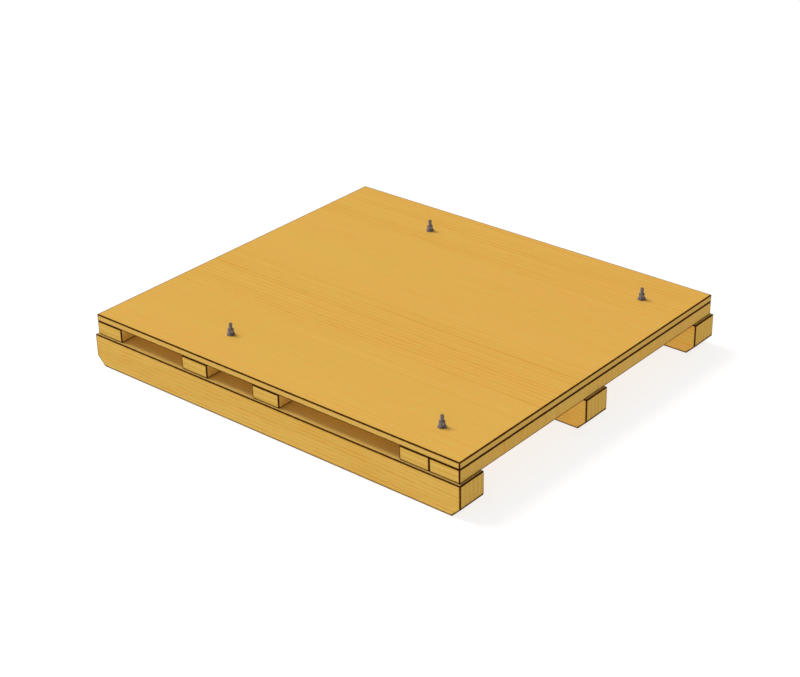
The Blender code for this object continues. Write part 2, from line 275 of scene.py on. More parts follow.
def edge_distance(shader, place, half_size, chamfer):
    """How far a point on a block's surface is from the nearest edge of the block.

    It is the middle one of the three distances to the block's faces. A chamfer adds its own two edges.
    """
    gaps = []
    for value, half in zip(shader.split(place), half_size):
        gaps.append(shader.math("SUBTRACT", half, shader.math("ABSOLUTE", value)))
    low = shader.math("MINIMUM", gaps[0], gaps[1])
    high = shader.math("MAXIMUM", gaps[0], gaps[1])
    middle = shader.math("MAXIMUM", low, shader.math("MINIMUM", high, gaps[2]))
    if not chamfer:
        return middle
    least = shader.math("MINIMUM", low, gaps[2])
    height = shader.math("ADD", shader.split(place)[2], half_size[2] - chamfer)
    slope = shader.math("MULTIPLY", shader.math("ADD", gaps[0], height), math.sqrt(0.5))
    return shader.math("MAXIMUM", least, shader.math("MINIMUM", middle, slope))


def darkened_arris(shader, colour, place, half_size, chamfer):
    """The colour, blackened by handling and damp along every edge of the block, most near the floor."""
    distance = edge_distance(shader, place, half_size, chamfer)
    uneven = shader.noise(place, scale=70.0, detail=3.0, roughness=0.6)
    reach = shader.map(uneven, 0.3, 0.7, 0.92 * DARK_EDGE, 1.12 * DARK_EDGE)
    if chamfer:
        floor = -half_size[2]
        damp = shader.map(shader.split(place)[2], floor, floor + DAMP_HEIGHT, 1.35, 1.0)
        reach = shader.math("MULTIPLY", reach, damp)
    stain = shader.map(distance, reach, shader.math("ADD", reach, STAIN_REACH), 0.50, 0.0)
    rim = shader.map(distance, shader.math("MULTIPLY", reach, 0.70), reach, 1.0, 0.0)
    colour = shader.mix(stain, colour, STAIN_BROWN)
    return shader.mix(rim, colour, EDGE_BLACK), rim


def wood_axes(shader, place, grain, seed):
    """The place split into along the grain, across it, and through the thickness, moved by the seed."""
    x, y, z = shader.split(shader.vector("ADD", place, (0.37 * seed, 0.71 * seed, 0.53 * seed)))
    return (x, y, z) if grain == "X" else (y, x, z)


def grain_streaks(shader, axes, bands, spacing, unevenness, dash, faintest):
    """Thin orange streaks along the grain, wavy and more or less even, stronger in long dashes.

    Bands says how strong they are at each place. Dash is a length along the grain, and faintest is
    the share that is left between dashes.
    """
    drift = shader.noise(stretched(shader, axes, 0.8, 6.0, 6.0), detail=1.0)
    ripple = shader.noise(stretched(shader, axes, 14.0, 30.0, 30.0), detail=1.0)
    across = shader.math("ADD", axes[1], shader.math("MULTIPLY", drift, 0.040))
    across = shader.math("ADD", across, shader.math("MULTIPLY", ripple, 0.25 * spacing))
    across = shader.math("ADD", across, axes[2])
    wave = shader.math("COSINE", shader.math("MULTIPLY", across, 2 * math.pi / spacing))
    groups = stretched(shader, axes, 0.7, 0.75 / spacing, 0.75 / spacing)
    uneven = shader.math("SUBTRACT", shader.noise(groups, detail=3.0, roughness=0.6), 0.5)
    wave = shader.math("ADD", wave, shader.math("MULTIPLY", uneven, unevenness))
    lines = shader.map(wave, -0.5, 1.9)
    stretches = stretched(shader, axes, 1.0 / dash, 0.62 / spacing, 0.62 / spacing)
    dashes = shader.map(shader.noise(stretches, detail=3.0), 0.36, 0.70, faintest, 1.0)
    return shader.math("MULTIPLY", shader.math("MULTIPLY", lines, dashes), bands)


def growth_rings(shader, axes, pith, spacing):
    """Growth rings round a pith line that runs along the grain, wavy along their length."""
    wave = shader.noise(stretched(shader, axes, 1.6, 9.0, 9.0), detail=2.0)
    wave = shader.math("MULTIPLY", shader.math("SUBTRACT", wave, 0.5), 0.016)
    across = shader.math("SUBTRACT", shader.math("ADD", axes[1], wave), pith[0])
    thick = shader.math("SUBTRACT", axes[2], pith[1])
    square = shader.math("ADD", shader.math("POWER", across, 2.0), shader.math("POWER", thick, 2.0))
    turns = shader.math("DIVIDE", shader.math("SQRT", square), spacing)
    phase = shader.math("FRACT", turns)
    late = shader.map(phase, 0.35, 0.92)
    back = shader.map(phase, 0.92, 1.0, 1.0, 0.0)
    return shader.math("MULTIPLY", late, back)


def wood_surface(shader, axes, tones, rings, streaks, strength):
    """The shared finish of lumber and plywood faces: tone, fibres, pores and relief."""
    tone = shader.noise(stretched(shader, axes, 0.8, 3.2, 3.2), detail=2.0)
    fibres = shader.noise(stretched(shader, axes, 9.0, 620.0, 620.0), detail=3.0, roughness=0.65)
    ticks = shader.noise(stretched(shader, axes, 38.0, 900.0, 900.0), detail=1.0)
    ticks = shader.map(ticks, 0.66, 0.78)
    colour = shader.mix(shader.map(tone, 0.3, 0.7), *tones)
    mottle = shader.noise(stretched(shader, axes, 26.0, 75.0, 75.0), detail=3.0, roughness=0.62)
    colour = shader.mix(shader.map(mottle, 0.28, 0.5, 0.40, 0.0), colour, MOTTLE_OLIVE)
    colour = shader.mix(shader.map(mottle, 0.5, 0.72, 0.0, 0.40), colour, MOTTLE_PINK)
    colour = shader.mix(shader.math("MULTIPLY", rings, 0.13), colour, RING_BROWN)
    colour = shader.mix(shader.math("MULTIPLY", streaks, strength), colour, STREAK_ORANGE)
    colour = shader.mix(shader.map(fibres, 0.35, 0.7, 0.0, 0.12), colour, FIBRE_BROWN)
    colour = shader.mix(shader.math("MULTIPLY", ticks, 0.18), colour, PORE_BROWN)
    relief = shader.math("MULTIPLY", fibres, 0.6)
    relief = shader.math("ADD", relief, shader.math("MULTIPLY", rings, 0.4))
    relief = shader.math("SUBTRACT", relief, shader.math("MULTIPLY", ticks, 0.3))
    return colour, relief


def finish_wood(shader, colour, relief, rim):
    """Set the colour, a matt roughness that follows the relief, and the bump."""
    shader.put(colour, shader.surface.inputs["Base Color"])
    rough = shader.map(relief, 0.2, 0.9, 0.62, 0.78)
    rough = shader.math("ADD", rough, shader.math("MULTIPLY", rim, 0.12))
    shader.put(rough, shader.surface.inputs["Roughness"])
    shader.surface.inputs["Specular IOR Level"].default_value = 0.04
    shader.bump(relief, 0.00022)
    return shader.material


def upright_marks(shader, place):
    """Faint upright stripes that the blade left on the sides that face X, in groups along Y."""
    line = shader.split(place)[1]
    wander = shader.noise(place, scale=14.0, detail=1.0)
    line = shader.math("ADD", line, shader.math("MULTIPLY", wander, 0.006))
    marks = shader.noise(shader.join(shader.math("MULTIPLY", line, 110.0), 0.0, 0.0), detail=2.0)
    groups = shader.noise(shader.join(shader.math("MULTIPLY", line, 5.0), 3.0, 0.0), detail=0.0)
    groups = shader.map(groups, 0.3, 0.6, 0.25, 1.0)
    marks = shader.math("MULTIPLY", shader.map(marks, 0.38, 0.72), groups)
    return shader.math("MULTIPLY", marks, facing(shader, "X"))


def facing(shader, axis):
    """1 on faces square to the axis, 0 on faces along it."""
    normal = shader.split(shader.texture_place("Normal"))["XYZ".index(axis)]
    return shader.map(shader.math("ABSOLUTE", normal), 0.75, 0.9)


def lumber_material(name, grain, half_size, pith, seed, chamfer=0.0):
    """Planed pine: streaks along the grain, and growth rings round the pith on its ends."""
    shader = Shader(name)
    place = shader.texture_place()
    axes = wood_axes(shader, place, grain, seed)
    local = shader.split(place)
    own_axes = (axes[0], local[1] if grain == "X" else local[0], local[2])
    rings = growth_rings(shader, own_axes, pith, GROWTH_RING)
    bands = shader.noise(stretched(shader, axes, 0.5, 9.0, 9.0), detail=0.0)
    bands = shader.map(bands, 0.3, 0.55, 0.8, 1.0)
    streaks = grain_streaks(shader, axes, bands, **LUMBER_STREAKS)
    if grain == "Y":
        quiet = shader.map(facing(shader, "X"), 0.0, 1.0, 1.0, 0.12)
        streaks = shader.math("MULTIPLY", streaks, quiet)
        rings = shader.math("MULTIPLY", rings, quiet)
    colour, relief = wood_surface(shader, axes, LUMBER_TONES, rings, streaks, 0.88)
    if grain == "Y":
        marks = upright_marks(shader, place)
        colour = shader.mix(shader.math("MULTIPLY", marks, 0.5), colour, STREAK_ORANGE)

    end = facing(shader, grain)
    pores = shader.noise(place, scale=1500.0, detail=2.0, roughness=0.7)
    wide = growth_rings(shader, own_axes, pith, WIDE_END_RING)
    end_colour = shader.mix(shader.map(pores, 0.35, 0.7, 0.0, 0.2), END_TONE, END_PORE_BROWN)
    end_colour = shader.mix(shader.math("MULTIPLY", rings, 0.16), end_colour, END_RING_BROWN)
    end_colour = shader.mix(shader.math("MULTIPLY", wide, 0.45), end_colour, STREAK_ORANGE)
    colour = shader.mix(end, colour, end_colour)
    upward = shader.split(shader.texture_place("Normal"))[2]
    # Upward faces are paler: painted light that lifts the shade on the runner and board tops under the
    # deck and in its gaps.
    colour = shader.mix(shader.map(upward, 0.7, 0.9, 0.0, 0.4), colour, SHADE_LIFT_PINE)
    end_relief = shader.math("MULTIPLY", end, shader.math("MULTIPLY", pores, 0.7))
    relief = shader.math("ADD", relief, end_relief)
    colour, rim = darkened_arris(shader, colour, place, half_size, chamfer)
    return finish_wood(shader, colour, relief, rim)


def ply_edge(shader, place, half_size):
    """The colour of the sheet's edge: plies whose grain runs along and across in turn, and glue."""
    x, y, z = shader.split(place)
    level = shader.math("DIVIDE", shader.math("ADD", z, half_size[2]), 2 * half_size[2] / PLIES)
    height = shader.math("FRACT", level)
    odd = shader.math("MODULO", shader.math("FLOOR", level), 2.0)
    under = shader.map(height, 0.0, 0.10, 1.0, 0.0)
    over = shader.map(height, 0.90, 1.0, 0.0, 1.0)
    glue = shader.math("ADD", under, over)
    grit = shader.noise(place, scale=1300.0, detail=2.0, roughness=0.7)
    fine = shader.join(shader.math("MULTIPLY", x, 6.0), y, shader.math("MULTIPLY", z, 900.0))
    long_lines = shader.noise(fine)
    cross = shader.mix(shader.map(grit, 0.3, 0.7, 0.05, 0.30), *CROSS_PLY_TONES)
    along = shader.mix(shader.map(long_lines, 0.35, 0.7, 0.0, 0.22), *LONG_PLY_TONES)
    core = shader.mix(odd, along, cross)
    core = shader.mix(shader.math("MULTIPLY", glue, 0.20), core, GLUE_BROWN)
    marks = upright_marks(shader, place)
    return shader.mix(shader.math("MULTIPLY", marks, 0.15), core, STREAK_ORANGE)


def plywood_material(name, half_size, seed):
    """Sanded pine plywood. Its face has two bands of close grain, and its edge shows the plies."""
    shader = Shader(name)
    place = shader.texture_place()
    axes = wood_axes(shader, place, "X", seed)
    bands = BAND_FLOOR
    for middle, reach, most in PLYWOOD_BANDS:
        off = shader.math("ABSOLUTE", shader.math("SUBTRACT", shader.split(place)[1], middle))
        band = shader.map(off, 0.5 * reach, 1.3 * reach, most, 0.0)
        bands = shader.math("MAXIMUM", bands, band)
    streaks = grain_streaks(shader, axes, bands, **PLYWOOD_STREAKS)
    # The veneer is peeled from a log almost flat on to its rings, which makes them wide on the face.
    peeled = (axes[0], axes[1], shader.math("MULTIPLY", axes[1], 0.12))
    rings = growth_rings(shader, peeled, (-0.9, 0.4), PEELED_RING)
    rings = shader.math("MULTIPLY", rings, 0.15)
    colour, relief = wood_surface(shader, axes, PLYWOOD_TONES, rings, streaks, 0.76)

    swell = shader.noise(stretched(shader, axes, 0.6, 21.0, 21.0), detail=1.0)
    colour = shader.mix(shader.map(swell, 0.35, 0.65, 0.0, 0.22), colour, SWELL_TAN)

    normal = shader.split(shader.texture_place("Normal"))[2]
    # The underside is paler: painted light that lifts the shade under the sheet.
    colour = shader.mix(shader.map(normal, -0.9, -0.7, 0.5, 0.0), colour, SHADE_LIFT_PINE)
    side = shader.map(shader.math("ABSOLUTE", normal), 0.3, 0.5, 1.0, 0.0)
    colour = shader.mix(side, colour, ply_edge(shader, place, half_size))
    colour, rim = darkened_arris(shader, colour, place, half_size, 0.0)
    return finish_wood(shader, colour, relief, rim)


def steel_material(name, tones, roughness, metallic, dirt_and_shade=None, dirt_and_shade_colour=OIL_AND_SHADE_BROWN):
    """Steel with a mottled skin and fine scratches. A function gives the share of the dark colour at
    each place: dirt, and on the washers and nuts painted shade as well.
    """
    light, dark = tones
    shader = Shader(name)
    place = shader.texture_place()
    mottle = shader.noise(place, scale=420.0, detail=4.0, roughness=0.6)
    fine = shader.vector("MULTIPLY", place, (3000.0, 3000.0, 400.0))
    scratch = shader.noise(fine, detail=2.0)
    colour = shader.mix(shader.map(mottle, 0.35, 0.68), dark, light)
    if dirt_and_shade:
        colour = shader.mix(dirt_and_shade(shader, place), colour, dirt_and_shade_colour)
    shader.put(colour, shader.surface.inputs["Base Color"])
    shader.surface.inputs["Metallic"].default_value = metallic
    shader.surface.inputs["Specular IOR Level"].default_value = 0.22
    rough = shader.map(mottle, 0.3, 0.7, roughness + 0.10, roughness - 0.06)
    shader.put(rough, shader.surface.inputs["Roughness"])
    relief = shader.math("ADD", mottle, shader.math("MULTIPLY", scratch, 0.5))
    shader.bump(relief, 0.00003)
    return shader.material


def stud_grime(shader, place):
    """The cut end of a stud, browned."""
    height = shader.split(place)[2]
    return shader.map(height, BOLT_LENGTH - RUST_BEGINS, BOLT_LENGTH - RUST_IS_FULL, 0.0, 0.75)


def rim_oil_and_shade(outer, reach, most):
    """Dark towards the outside of a turned piece, over the reach: oil, and on the washers also painted
    shade.
    """

    def dirt_and_shade(shader, place):
        x, y, _ = shader.split(place)
        square = shader.math("ADD", shader.math("MULTIPLY", x, x), shader.math("MULTIPLY", y, y))
        return shader.map(shader.math("SQRT", square), outer - reach, outer - 0.2 * reach, 0.0, most)

    return dirt_and_shade


def nut_oil_and_shade(flats, height):
    """Dark along a nut's six corners and its two ends: oil, and at its foot, where it sits on the
    washers, painted shade.
    """
    corners = rim_oil_and_shade(flats / math.sqrt(3.0), 0.0009, 0.75)

    def dirt_and_shade(shader, place):
        level = shader.split(place)[2]
        above = shader.map(level, height - 0.0017, height - 0.0006, 0.0, 0.75)
        # Painted shade at the nut's foot, where it sits on the washers.
        below = shader.map(level, 0.0005, 0.0014, 0.85, 0.0)
        ends = shader.math("MAXIMUM", above, below)
        return shader.math("MAXIMUM", corners(shader, place), ends)

    return dirt_and_shade


def floor_material():
    shader = Shader("studio_floor")
    place = shader.texture_place()
    cloud = shader.noise(place, scale=0.6, detail=1.0)
    shader.put(shader.mix(cloud, *FLOOR_TONES), shader.surface.inputs["Base Color"])
    shader.surface.inputs["Roughness"].default_value = 0.9
    shader.surface.inputs["Specular IOR Level"].default_value = 0.1
    shader.surface.inputs["Emission Color"].default_value = (1.0, 1.0, 1.0, 1.0)
    shader.surface.inputs["Emission Strength"].default_value = FLOOR_GLOW
    return shader.material


# Mesh helpers


def mesh_object(name, shape, place=(0.0, 0.0, 0.0)):
    """Turn a bmesh into an object, with its faces pointing out."""
    bmesh.ops.recalc_face_normals(shape, faces=shape.faces)
    mesh = bpy.data.meshes.new(name)
    shape.to_mesh(mesh)
    shape.free()
    made = bpy.data.objects.new(name, mesh)
    made.location = place
    bpy.context.scene.collection.objects.link(made)
    return made


def add_block(shape, low, high):
    corners = []
    for x in (low[0], high[0]):
        for y in (low[1], high[1]):
            for z in (low[2], high[2]):
                corners.append(shape.verts.new((x, y, z)))
    sides = ((0, 1, 3, 2), (4, 6, 7, 5), (0, 4, 5, 1), (2, 3, 7, 6), (0, 2, 6, 4), (1, 5, 7, 3))
    for side in sides:
        shape.faces.new([corners[index] for index in side])


def add_turned(shape, profile, segments, centre=(0.0, 0.0), turn=0.0, closed=False):
    """Add a solid turned about Z. An open profile runs from axis to axis, a closed one is a ring."""
    rings = []
    for radius, height in profile:
        if radius == 0.0:
            rings.append([shape.verts.new((centre[0], centre[1], height))])
            continue
        ring = []
        for step in range(segments):
            angle = turn + 2 * math.pi * step / segments
            x = centre[0] + radius * math.cos(angle)
            y = centre[1] + radius * math.sin(angle)
            ring.append(shape.verts.new((x, y, height)))
        rings.append(ring)
    following = rings[1:] + rings[:1] if closed else rings[1:]
    for lower, upper in zip(rings, following):
        for step in range(segments):
            after = (step + 1) % segments
            corners = [lower[step % len(lower)], lower[after % len(lower)]]
            corners += [upper[after % len(upper)], upper[step % len(upper)]]
            shape.faces.new(list(dict.fromkeys(corners)))


def rounded_corner(centre, radius, start, steps=4):
    """Points of a quarter circle, counter-clockwise from the start angle in degrees."""
    points = []
    for step in range(steps + 1):
        angle = math.radians(start + 90.0 * step / steps)
        points.append((centre[0] + radius * math.cos(angle), centre[1] + radius * math.sin(angle)))
    return points


def combine(made, other, operation="DIFFERENCE"):
    """Apply a Boolean and throw the other object away."""
    boolean = made.modifiers.new("cut", "BOOLEAN")
    boolean.operation = operation
    boolean.solver = "EXACT"
    boolean.object = other
    bpy.context.view_layer.update()
    graph = bpy.context.evaluated_depsgraph_get()
    result = bpy.data.meshes.new_from_object(made.evaluated_get(graph))
    made.modifiers.clear()
    made.data = result
    bpy.data.objects.remove(other, do_unlink=True)
    return made


def shade(made, angle):
    """Shade smooth, with sharp edges past the angle in degrees."""
    made.data.shade_smooth()
    made.data.set_sharp_from_angle(angle=math.radians(angle))


def show(made, node, body, material):
    """Show a detailed piece in place of a CAD node, on that node's body, in the slot's finish."""
    made.data.materials.clear()
    made.data.materials.append(material)
    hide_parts(node)
    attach(made, body)


# Wood


def nodes_named(start):
    return sorted(name for name in frame["nodes"] if name.startswith(start))


def centre_and_half(node):
    """The middle of a node's box and half its size."""
    low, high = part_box(node)
    return (low + high) / 2, (high - low) / 2


def wood_cutters(centre, half, bolts, nails):
    """One cutter for the round holes of a block of wood, in the block's own coordinates."""
    holes = bmesh.new()
    for node in nails:
        low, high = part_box(node)
        middle = (low + high) / 2 - centre
        if abs(middle.x) > half.x or abs(middle.y) > half.y:
            continue
        head = (high.x - low.x) / 2 + WOOD_CLEARANCE
        wire = NAIL_WIRE_RADIUS + WOOD_CLEARANCE
        bottom = low.z - centre.z - WOOD_CLEARANCE
        step = high.z - centre.z - NAIL_HEAD_THICKNESS - WOOD_CLEARANCE
        top = half.z + CUTTER_OVERRUN
        profile = [(0.0, bottom), (wire, bottom)]
        if step < half.z:
            profile += [(wire, step), (head, step), (head, top)]
        else:
            profile += [(wire, top)]
        add_turned(holes, profile + [(0.0, top)], NAIL_HOLE_SEGMENTS, middle)
    for node in bolts:
        low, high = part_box(node)
        middle = (low + high) / 2 - centre
        if abs(middle.x) > half.x or abs(middle.y) > half.y:
            continue
        if low.z > centre.z + half.z or high.z < centre.z - half.z:
            continue
        reach = half.z + CUTTER_OVERRUN
        seat = high.z - BOLT_LENGTH + WOOD_CLEARANCE - centre.z
        hole = BOLT_HOLE_RADIUS
        profile = [(0.0, -reach), (hole, -reach), (hole, reach), (0.0, reach)]
        if seat > -half.z:
            mouth = (high.x - low.x) / 2 + WOOD_CLEARANCE
            profile[1:2] = [(mouth, -reach), (mouth, seat), (hole, seat)]
        add_turned(holes, profile, BOLT_HOLE_SEGMENTS, middle)
    return holes


def rounded_block(half, arris, chamfer):
    """A block about its own centre with all its edges rounded, and its lower ends cut if chamfered."""
    shape = bmesh.new()
    if chamfer:
        outline = (
            (-half.x + chamfer, -half.z),
            (half.x - chamfer, -half.z),
            (half.x, -half.z + chamfer),
            (half.x, half.z),
            (-half.x, half.z),
            (-half.x, -half.z + chamfer),
        )
        face = shape.faces.new([shape.verts.new((x, -half.y, z)) for x, z in outline])
        grown = bmesh.ops.extrude_face_region(shape, geom=[face])
        moved = [item for item in grown["geom"] if isinstance(item, bmesh.types.BMVert)]
        bmesh.ops.translate(shape, verts=moved, vec=(0.0, 2 * half.y, 0.0))
    else:
        add_block(shape, -half, half)
    bmesh.ops.recalc_face_normals(shape, faces=shape.faces)
    bmesh.ops.bevel(
        shape,
        geom=list(shape.edges),
        offset=arris,
        offset_type="OFFSET",
        segments=ARRIS_SEGMENTS,
        profile=0.5,
        affect="EDGES",
        clamp_overlap=False,
    )
    return shape


def cut_neck_recess(board, centre, half, bolt):
    """Cut the square recess that a bolt's neck sits in, if the bolt passes through this board."""
    low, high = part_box(bolt)
    middle = (low + high) / 2 - centre
    if abs(middle.x) > half.x:
        return
    recess = bmesh.new()
    corner = Vector((NECK_HOLE_HALF, NECK_HOLE_HALF, 0.0))
    below = Vector((middle.x, middle.y, -half.z - CUTTER_OVERRUN))
    above = Vector((middle.x, middle.y, high.z - BOLT_LENGTH - centre.z + NECK_HOLE_DEPTH))
    add_block(recess, below - corner, above + corner)
    combine(board, mesh_object("recess", recess, centre))


def make_wood(node, arris, material, chamfer=0.0, bolts=(), nails=()):
    """A block of wood with rounded edges and its holes, centred on its own origin."""
    centre, half = centre_and_half(node)
    made = mesh_object(f"{node}_wood", rounded_block(half, arris, chamfer), centre)
    holes = wood_cutters(centre, half, bolts, nails)
    if holes.faces:
        combine(made, mesh_object("holes", holes, centre))
    else:
        holes.free()
    if node.startswith("cross_board"):
        for bolt in bolts:
            cut_neck_recess(made, centre, half, bolt)
    made.data.shade_flat()
    show(made, node, "root", material)


def make_all_wood():
    """The runners, the cross boards and the deck.

    Each pith is so far off that the rings run nearly straight: it is beside a runner, and above a board.
    """
    bolts = nodes_named("carriage_bolt")
    nails = nodes_named("nail")
    piths = {"front": (0.95, 0.0), "middle": (-0.80, 0.03), "back": (0.85, -0.04)}
    for seed, (name, pith) in enumerate(piths.items(), start=1):
        node = f"runner_{name}"
        half = centre_and_half(node)[1]
        material = lumber_material(f"pine_runner_{name}", "X", half, pith, seed, RUNNER_CHAMFER)
        make_wood(node, LUMBER_ARRIS, material, RUNNER_CHAMFER, nails=nails)
    for seed, node in enumerate(nodes_named("cross_board"), start=5):
        half = centre_and_half(node)[1]
        pith = (0.04 * (-1) ** seed, 1.6 + 0.05 * (seed % 3))
        material = lumber_material(f"pine_{node}", "Y", half, pith, seed)
        make_wood(node, LUMBER_ARRIS, material, bolts=bolts, nails=nails)
    half = centre_and_half("deck_sheet")[1]
    material = plywood_material("pine_plywood", half, 3)
    make_wood("deck_sheet", PLYWOOD_ARRIS, material, bolts=bolts)


# Steel


def add_thread(shape, bottom, top, extra):
    """Add a right-hand thread about Z, closed at both ends, which lie beyond bottom and top."""
    turns = math.ceil((top - bottom) / PITCH) + 3
    start = bottom - 1.5 * PITCH
    rows = []
    for turn in range(turns):
        for height, crest in THREAD_PROFILE:
            radius = THREAD_MAJOR - THREAD_DEPTH * (1.0 - crest) + extra
            rows.append((turn + height, radius))
    columns = []
    for step in range(THREAD_SEGMENTS):
        share = step / THREAD_SEGMENTS
        angle = 2 * math.pi * share
        column = []
        for height, radius in rows:
            z = start + PITCH * (height + share)
            column.append(shape.verts.new((radius * math.cos(angle), radius * math.sin(angle), z)))
        columns.append(column)
    first, last = columns[0], columns[-1]
    per_turn = len(THREAD_PROFILE)
    for left, right in zip(columns, columns[1:]):
        for row in range(len(rows) - 1):
            shape.faces.new((left[row], right[row], right[row + 1], left[row + 1]))
    for row in range(len(rows) - per_turn - 1):
        shape.faces.new((last[row], first[row + per_turn], first[row + per_turn + 1], last[row + 1]))
    low_rim = [column[0] for column in columns] + first[per_turn:0:-1]
    high_rim = [column[-1] for column in columns] + last[-2 : -per_turn - 2 : -1]
    for rim, z in ((low_rim, start), (high_rim, start + PITCH * (turns + 1))):
        centre = shape.verts.new((0.0, 0.0, z))
        for one, other in zip(rim, rim[1:] + rim[:1]):
            shape.faces.new((one, other, centre))


def round_upright_edges(shape, radius, segments):
    upright = [edge for edge in shape.edges if abs(edge.verts[0].co.z - edge.verts[1].co.z) > 0.001]
    bmesh.ops.bevel(shape, geom=upright, offset=radius, segments=segments, profile=0.5, affect="EDGES")


def bolt_mesh(length, head_radius, head_height, neck_half):
    """A carriage bolt with its seat under the head at 0, its tip at length and its dome below 0."""
    dome = head_height - HEAD_RIM
    sphere = (head_radius**2 + dome**2) / (2 * dome)
    spread = math.asin(head_radius / sphere)
    profile = [(0.0, -head_height)]
    for step in range(1, HEAD_STEPS + 1):
        angle = spread * step / HEAD_STEPS
        profile.append((sphere * math.sin(angle), sphere * (1 - math.cos(angle)) - head_height))
    thread_start = length - THREAD_LENGTH
    profile += [(head_radius, -HEAD_EASE), (head_radius - HEAD_EASE, 0.0)]
    profile += [(THREAD_MAJOR, 0.0), (THREAD_MAJOR, thread_start)]
    profile += [(THREAD_MAJOR - THREAD_DEPTH * 0.6, thread_start + 0.001), (0.0, thread_start + 0.001)]
    shape = bmesh.new()
    add_turned(shape, profile, ROUND_SEGMENTS)
    bolt = mesh_object("bolt_shape", shape)

    neck = bmesh.new()
    add_block(neck, (-neck_half, -neck_half, -0.001), (neck_half, neck_half, NECK_DEPTH))
    round_upright_edges(neck, NECK_ROUNDING, 3)
    combine(bolt, mesh_object("neck", neck), "UNION")

    thread = bmesh.new()
    add_thread(thread, thread_start, length, 0.0)
    stud = mesh_object("stud", thread)
    envelope = bmesh.new()
    wide = THREAD_MAJOR + 0.0002
    ends = [(0.0, thread_start), (wide, thread_start), (wide, length - TIP_CHAMFER)]
    ends += [(wide - TIP_CHAMFER - 0.0002, length), (0.0, length)]
    add_turned(envelope, ends, ROUND_SEGMENTS, turn=CUTTER_TURN)
    combine(stud, mesh_object("envelope", envelope), "INTERSECT")
    combine(bolt, stud, "UNION")
    shade(bolt, 28.0)
    return bolt


def nut_mesh(flats, height, phase_bottom, phase_top):
    """A hex nut, bottom at 0, whose thread meets the bolt's. The phases are the bolt's thread span."""
    corner = flats / 2 / math.cos(math.pi / 6)
    shape = bmesh.new()
    add_turned(shape, [(0.0, 0.0), (corner, 0.0), (corner, height), (0.0, height)], 6)
    round_upright_edges(shape, NUT_CORNER_EASE, 2)
    nut = mesh_object("nut_shape", shape)
    cones = bmesh.new()
    end = NUT_CONE_SHARE * flats
    waist = corner + CUTTER_OVERRUN
    drop = (waist - end) * math.tan(NUT_CONE_ANGLE)
    trim = [(0.0, 0.0), (end, 0.0), (waist, drop)]
    trim += [(waist, height - drop), (end, height), (0.0, height)]
    add_turned(cones, trim, ROUND_SEGMENTS)
    combine(nut, mesh_object("cones", cones), "INTERSECT")
    tap = bmesh.new()
    add_thread(tap, phase_bottom, phase_top, TAP_CLEARANCE)
    combine(nut, mesh_object("tap", tap))
    mouth = THREAD_MAJOR + NUT_SINK
    for z, way in ((0.0, -1.0), (height, 1.0)):
        sink = bmesh.new()
        beyond = z + way * CUTTER_OVERRUN
        cone = [(0.0, z - way * mouth), (mouth + CUTTER_OVERRUN, beyond), (0.0, beyond)]
        add_turned(sink, cone, ROUND_SEGMENTS, turn=CUTTER_TURN)
        combine(nut, mesh_object("sink", sink))
    shade(nut, 28.0)
    return nut


def flat_washer_mesh(bore, outer, thickness):
    """A stamped washer: its upper edges are rolled over and its lower ones are sharp."""
    roll = WASHER_ROLL
    profile = [(bore, 0.0), (outer, 0.0)]
    profile += rounded_corner((outer - roll, thickness - roll), roll, 0.0)
    profile += rounded_corner((bore + roll, thickness - roll), roll, 90.0)
    shape = bmesh.new()
    add_turned(shape, profile, ROUND_SEGMENTS, closed=True)
    washer = mesh_object("flat_washer_shape", shape)
    shade(washer, 35.0)
    return washer


def lock_washer_mesh(bore, outer, thickness):
    """A spring washer: one turn of square wire, cut on a slant, its ends still a little apart."""
    wire = thickness - SPRING_RISE
    roll = SPRING_ROLL
    section = rounded_corner((outer - roll, roll), roll, -90.0)
    section += rounded_corner((outer - roll, wire - roll), roll, 0.0)
    section += rounded_corner((bore + roll, wire - roll), roll, 90.0)
    section += rounded_corner((bore + roll, roll), roll, 180.0)
    shape = bmesh.new()
    rings = []
    for step in range(SPRING_STEPS + 1):
        share = step / SPRING_STEPS
        ring = []
        for radius, height in section:
            lean = SPRING_SLANT * (height / wire - 0.5)
            angle = SPRING_GAP / 2 + (2 * math.pi - SPRING_GAP) * share + lean
            z = height + SPRING_RISE * share
            ring.append(shape.verts.new((radius * math.cos(angle), radius * math.sin(angle), z)))
        rings.append(ring)
    for one, other in zip(rings, rings[1:]):
        for corner in range(len(section)):
            after = (corner + 1) % len(section)
            shape.faces.new((one[corner], one[after], other[after], other[corner]))
    shape.faces.new(rings[0])
    shape.faces.new(list(reversed(rings[-1])))
    washer = mesh_object("lock_washer_shape", shape)
    shade(washer, 35.0)
    return washer


def body_of(node):
    bodies = frame["record"]["behaviour"]["bodies"]
    return next(body for body, members in bodies.items() if node in members)


def place_copies(pattern, kind, material, above_low=0.0):
    """Put a copy of the pattern at each of a kind's nodes, on its bolt's axis, and drop the pattern."""
    for node in nodes_named(kind):
        bolt_low, bolt_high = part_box(f"carriage_bolt_{node[-1]}")
        axis = (bolt_low + bolt_high) / 2
        made = bpy.data.objects.new(f"{node}_steel", pattern.data)
        made.location = (axis.x, axis.y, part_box(node)[0].z + above_low)
        bpy.context.scene.collection.objects.link(made)
        show(made, node, body_of(node), material)
    bpy.data.objects.remove(pattern, do_unlink=True)


def make_bolts():
    """The four bolts. Returns the height at which their threads start."""
    low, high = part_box("carriage_bolt_1")
    head_height = high.z - low.z - BOLT_LENGTH
    bolt = bolt_mesh(BOLT_LENGTH, (high.x - low.x) / 2, head_height, NECK_HALF)
    steel = steel_material("stud_steel", STUD_TONES, **OILED, dirt_and_shade=stud_grime, dirt_and_shade_colour=TIP_RUST)
    place_copies(bolt, "carriage_bolt", steel, above_low=head_height)
    return high.z - THREAD_LENGTH


